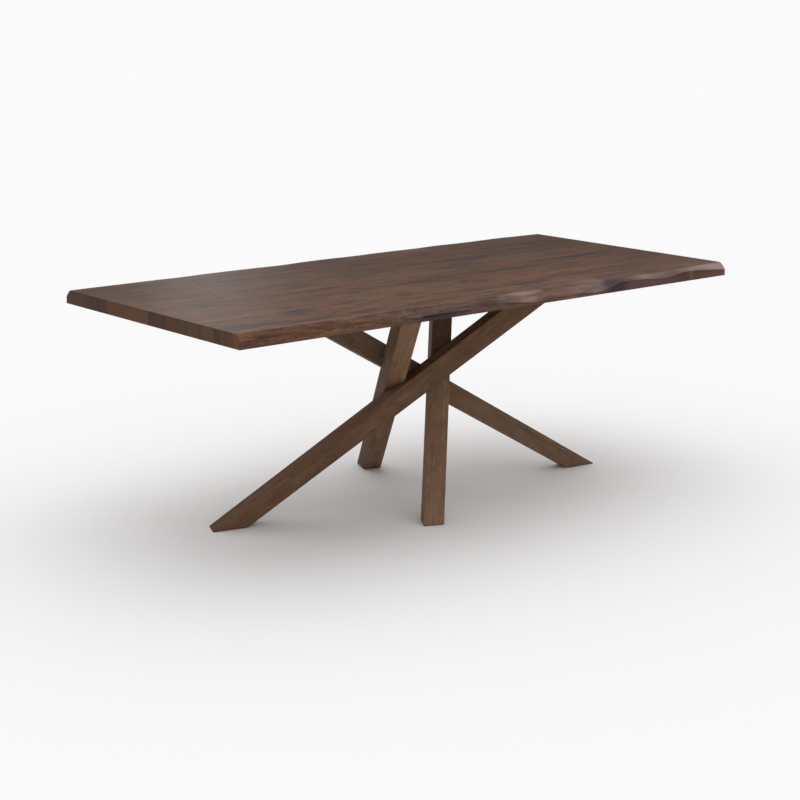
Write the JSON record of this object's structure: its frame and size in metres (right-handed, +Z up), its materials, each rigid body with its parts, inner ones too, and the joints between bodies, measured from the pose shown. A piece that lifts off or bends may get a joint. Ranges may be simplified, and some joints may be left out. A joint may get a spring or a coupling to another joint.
{
  "type": "live-edge dining table",
  "caption": "Rectangular plank dining table with wavy live edges, on slanted square legs that cross and are notched over each other under the middle of the top.",
  "frame": {"origin": "on the floor, under the middle of the top", "axes": "+X along the planks to the right of the front edge, +Y from the front edge to the back edge, +Z up"},
  "size_m": [2.04, 0.965, 0.75],
  "materials": {
    "walnut_board": "satin oil on dark walnut",
    "walnut_leg": "satin oil on brown walnut",
    "black_steel": "black powder coat",
    "zinc_screw": "zinc plated",
    "beech_dowel": "bare beech",
    "nylon_glide": "matte dark nylon"
  },
  "bodies": {
    "root": {"back_edge_board": "walnut_board", "back_glide": "nylon_glide", "back_left_lap_dowel": "beech_dowel", "back_leg": "walnut_leg", "back_leg_screw_1": "zinc_screw", "back_leg_screw_2": "zinc_screw", "back_leg_screw_3": "zinc_screw", "back_plate": "black_steel", "back_top_screw_1": "zinc_screw", "back_top_screw_2": "zinc_screw", "back_top_screw_3": "zinc_screw", "back_top_screw_4": "zinc_screw", "front_edge_board": "walnut_board", "front_glide": "nylon_glide", "front_leg": "walnut_leg", "front_leg_screw_1": "zinc_screw", "front_leg_screw_2": "zinc_screw", "front_leg_screw_3": "zinc_screw", "front_plate": "black_steel", "front_right_lap_dowel": "beech_dowel", "front_top_screw_1": "zinc_screw", "front_top_screw_2": "zinc_screw", "front_top_screw_3": "zinc_screw", "front_top_screw_4": "zinc_screw", "left_front_lap_dowel": "beech_dowel", "left_glide": "nylon_glide", "left_leg": "walnut_leg", "left_leg_screw_1": "zinc_screw", "left_leg_screw_2": "zinc_screw", "left_leg_screw_3": "zinc_screw", "left_plate": "black_steel", "left_top_screw_1": "zinc_screw", "left_top_screw_2": "zinc_screw", "left_top_screw_3": "zinc_screw", "left_top_screw_4": "zinc_screw", "right_back_lap_dowel": "beech_dowel", "right_glide": "nylon_glide", "right_leg": "walnut_leg", "right_leg_screw_1": "zinc_screw", "right_leg_screw_2": "zinc_screw", "right_leg_screw_3": "zinc_screw", "right_plate": "black_steel", "right_top_screw_1": "zinc_screw", "right_top_screw_2": "zinc_screw", "right_top_screw_3": "zinc_screw", "right_top_screw_4": "zinc_screw", "top_board_2": "walnut_board", "top_board_3": "walnut_board", "top_board_4": "walnut_board", "top_board_5": "walnut_board", "top_board_6": "walnut_board", "top_board_7": "walnut_board"}
  },
  "joints": []
}
